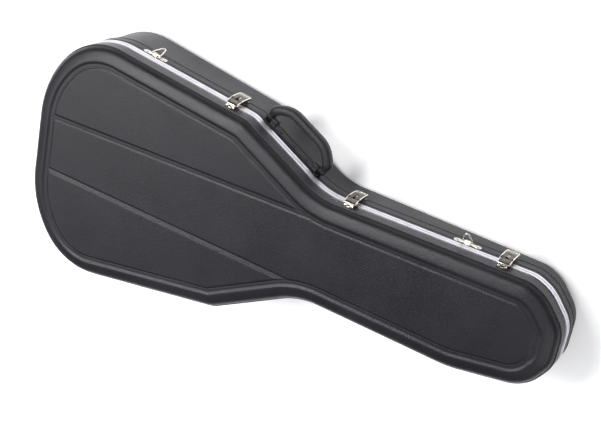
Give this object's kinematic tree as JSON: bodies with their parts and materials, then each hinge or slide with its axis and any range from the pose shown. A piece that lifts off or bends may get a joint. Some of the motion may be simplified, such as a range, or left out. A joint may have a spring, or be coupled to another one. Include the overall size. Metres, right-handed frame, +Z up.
{
  "type": "guitar case",
  "caption": "Hard-shell acoustic guitar case with hinged lid, draw latches, folding handle, strap rings, plush-lined cavity and accessory compartment.",
  "frame": {"origin": "on the flat bottom, on the centre line, at the middle of the valance's length; the case lies on its back", "axes": "+X towards the head end, +Y towards the handle and latch side, +Z up towards the lid"},
  "size_m": [1.1025, 0.4791, 0.1865],
  "materials": {
    "abs_shell": "fine leather-grain moulded ABS",
    "valance_aluminium": "satin anodised",
    "foam": "closed-cell foam",
    "plush": "short-pile plush",
    "covered_board": "plywood covered in plush",
    "pull_ribbon": "woven ribbon",
    "handle_plastic": "moulded, satin",
    "hinge_brass": "brushed",
    "nickel_wire": "nickel plated",
    "rivet_steel": "nickel plated",
    "black_screws": "black painted",
    "nickel_steel": "polished nickel plate"
  },
  "bodies": {
    "base": {"base_shell": "abs_shell", "base_valance": "valance_aluminium", "base_foam": "foam", "base_lining": "plush", "neck_cradle": "plush", "compartment_body_wall": "covered_board", "compartment_neck_wall": "covered_board", "compartment_shelf": "covered_board", "compartment_shelf_leaf": "hinge_brass", "compartment_hinge_pin": "hinge_brass", "latch_1_base": "nickel_steel", "latch_2_base": "nickel_steel", "latch_3_base": "nickel_steel", "latch_4_base": "nickel_steel", "latch_pivot_pins": "nickel_steel", "latch_base_rivets": "rivet_steel", "hinge_1_base_leaf": "nickel_steel", "hinge_2_base_leaf": "nickel_steel", "hinge_3_base_leaf": "nickel_steel", "hinge_pins": "nickel_steel", "hinge_base_rivets": "rivet_steel", "handle_plate": "handle_plastic", "handle_pins": "nickel_steel", "handle_rivets": "black_screws", "strap_plate_1": "nickel_steel", "strap_plate_2": "nickel_steel", "strap_rivets": "rivet_steel"},
    "lid": {"lid_shell": "abs_shell", "lid_valance": "valance_aluminium", "lid_pad": "foam", "lid_foam_rim": "foam", "lid_lining": "plush", "latch_1_keeper": "nickel_steel", "latch_2_keeper": "nickel_steel", "latch_3_keeper": "nickel_steel", "latch_4_keeper": "nickel_steel", "latch_keeper_rivets": "rivet_steel", "hinge_1_lid_leaf": "nickel_steel", "hinge_2_lid_leaf": "nickel_steel", "hinge_3_lid_leaf": "nickel_steel", "hinge_lid_rivets": "rivet_steel"},
    "handle": {"handle_grip": "handle_plastic"},
    "strap_ring_1": {"strap_ring_1": "nickel_wire"},
    "strap_ring_2": {"strap_ring_2": "nickel_wire"},
    "compartment_flap": {"compartment_flap": "covered_board", "compartment_flap_leaf": "hinge_brass", "compartment_pull": "pull_ribbon"},
    "latch_1_lever": {"latch_1_lever": "nickel_steel", "latch_1_claw_pin": "nickel_steel"},
    "latch_1_claw": {"latch_1_claw": "nickel_steel"},
    "latch_2_lever": {"latch_2_lever": "nickel_steel", "latch_2_claw_pin": "nickel_steel"},
    "latch_2_claw": {"latch_2_claw": "nickel_steel"},
    "latch_3_lever": {"latch_3_lever": "nickel_steel", "latch_3_claw_pin": "nickel_steel"},
    "latch_3_claw": {"latch_3_claw": "nickel_steel"},
    "latch_4_lever": {"latch_4_lever": "nickel_steel", "latch_4_claw_pin": "nickel_steel"},
    "latch_4_claw": {"latch_4_claw": "nickel_steel"}
  },
  "joints": [
    {"name": "lid_hinge", "type": "hinge", "parent": "base", "child": "lid", "pos_m": [-0.23706, -0.21867, 0.12183], "axis": [0.9869, 0.1502, -0.0589], "range_deg": [0, 105]},
    {"name": "latch_1_lever", "type": "hinge", "parent": "base", "child": "latch_1_lever", "pos_m": [-0.13876, 0.20756, 0.11647], "axis": [0.9869, -0.1502, -0.0589], "range_deg": [0, 120]},
    {"name": "latch_1_claw", "type": "hinge", "parent": "latch_1_lever", "child": "latch_1_claw", "pos_m": [-0.14009, 0.20311, 0.10553], "axis": [0.9869, -0.1502, -0.0589], "range_deg": [-120, 0]},
    {"name": "latch_2_lever", "type": "hinge", "parent": "base", "child": "latch_2_lever", "pos_m": [0.12337, 0.10877, 0.10083], "axis": [0.9982, -0.0064, -0.0595], "range_deg": [0, 120]},
    {"name": "latch_2_claw", "type": "hinge", "parent": "latch_2_lever", "child": "latch_2_claw", "pos_m": [0.12269, 0.10426, 0.08986], "axis": [0.9982, -0.0064, -0.0595], "range_deg": [-120, 0]},
    {"name": "latch_3_lever", "type": "hinge", "parent": "base", "child": "latch_3_lever", "pos_m": [0.41684, 0.10687, 0.08333], "axis": [0.9982, -0.0064, -0.0595], "range_deg": [0, 120]},
    {"name": "latch_3_claw", "type": "hinge", "parent": "latch_3_lever", "child": "latch_3_claw", "pos_m": [0.41616, 0.10237, 0.07236], "axis": [0.9982, -0.0064, -0.0595], "range_deg": [-120, 0]},
    {"name": "latch_4_lever", "type": "hinge", "parent": "base", "child": "latch_4_lever", "pos_m": [-0.54559, 0, 0.14073], "axis": [0, 1, 0], "range_deg": [0, 120]},
    {"name": "latch_4_claw", "type": "hinge", "parent": "latch_4_lever", "child": "latch_4_claw", "pos_m": [-0.54175, 0, 0.12948], "axis": [0, 1, 0], "range_deg": [-120, 0]},
    {"name": "handle_fold", "type": "hinge", "parent": "base", "child": "handle", "pos_m": [-0.01789, 0.15854, 0.08572], "axis": [-0.8751, 0.4811, 0.0522], "range_deg": [-75, 82]},
    {"name": "strap_ring_1", "type": "hinge", "parent": "base", "child": "strap_ring_1", "pos_m": [-0.32998, 0.23165, 0.11084], "axis": [0.9869, -0.1502, -0.0589], "range_deg": [0, 157]},
    {"name": "strap_ring_2", "type": "hinge", "parent": "base", "child": "strap_ring_2", "pos_m": [0.33794, 0.10258, 0.07101], "axis": [0.9982, -0.0064, -0.0595], "range_deg": [-122, 35]},
    {"name": "compartment_flap", "type": "hinge", "parent": "base", "child": "compartment_flap", "pos_m": [0.14173, 0.021, 0.0752], "axis": [0.9982, 0, -0.0595], "range_deg": [0, 95]}
  ],
  "couplings": [
    {"joint": "latch_1_claw", "follows": "latch_1_lever", "ratio": -1},
    {"joint": "latch_2_claw", "follows": "latch_2_lever", "ratio": -1},
    {"joint": "latch_3_claw", "follows": "latch_3_lever", "ratio": -1},
    {"joint": "latch_4_claw", "follows": "latch_4_lever", "ratio": -1}
  ]
}
